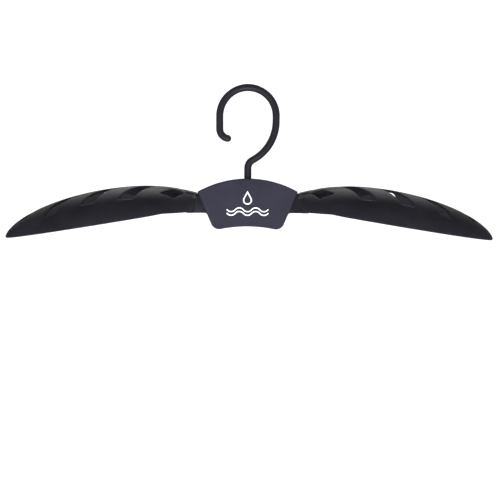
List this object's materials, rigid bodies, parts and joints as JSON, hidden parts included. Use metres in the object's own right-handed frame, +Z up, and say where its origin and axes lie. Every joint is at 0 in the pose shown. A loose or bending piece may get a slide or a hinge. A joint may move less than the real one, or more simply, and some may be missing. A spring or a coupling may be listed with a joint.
{
  "type": "wetsuit hanger",
  "caption": "Folding hanger for wetsuits: swivelling hook on a flat housing with two wide vented shoulders that fold down when the rear button is pressed.",
  "frame": {"origin": "inside top of the hook, where the hanger rests on a rail", "axes": "+X along the shoulders to the right seen from the front, -Y to the front, +Z up"},
  "size_m": [0.4572, 0.1046, 0.1449],
  "materials": {
    "hook_paint": "satin black coating",
    "bushing_plastic": "black acetal, satin",
    "steel": "bright",
    "spring_steel": "tempered",
    "screw_steel": "black oxide",
    "washer_plastic": "nylon",
    "housing_plastic": "fine moulded texture",
    "arm_plastic": "coarse sandblasted moulded texture",
    "button_plastic": "satin",
    "emblem_print": "raised white print"
  },
  "bodies": {
    "hook": {"hook": "hook_paint", "hook_washer": "steel", "hook_retaining_clip": "steel"},
    "housing": {"front_cover": "housing_plastic", "rear_cover": "housing_plastic", "hook_bushing": "bushing_plastic", "cover_screws": "screw_steel", "left_hinge_pin": "steel", "right_hinge_pin": "steel", "hub_washers": "washer_plastic", "button_spring": "spring_steel", "emblem": "emblem_print"},
    "left_arm": {"left_arm": "arm_plastic"},
    "right_arm": {"right_arm": "arm_plastic"},
    "button": {"push_button": "button_plastic", "latch_leaf": "spring_steel", "button_screw": "screw_steel"}
  },
  "joints": [
    {"name": "housing_swivel", "type": "hinge", "parent": "hook", "child": "housing", "pos_m": [0, 0, -0.0816], "axis": [0, 0, 1], "continuous": true},
    {"name": "right_fold", "type": "hinge", "parent": "housing", "child": "right_arm", "pos_m": [0.033, 0, -0.1106], "axis": [0, 1, 0], "range_deg": [0, 78], "deforming": ["latch_leaf"]},
    {"name": "left_fold", "type": "hinge", "parent": "housing", "child": "left_arm", "pos_m": [-0.033, 0, -0.1106], "axis": [0, -1, 0], "range_deg": [0, 78], "deforming": ["latch_leaf"]},
    {"name": "button_press", "type": "slide", "parent": "housing", "child": "button", "axis": [0, -1, 0], "range_m": [0, 0.003], "stiffness_N_per_m": 700, "springref_m": -0.004, "deforming": ["button_spring"]}
  ]
}
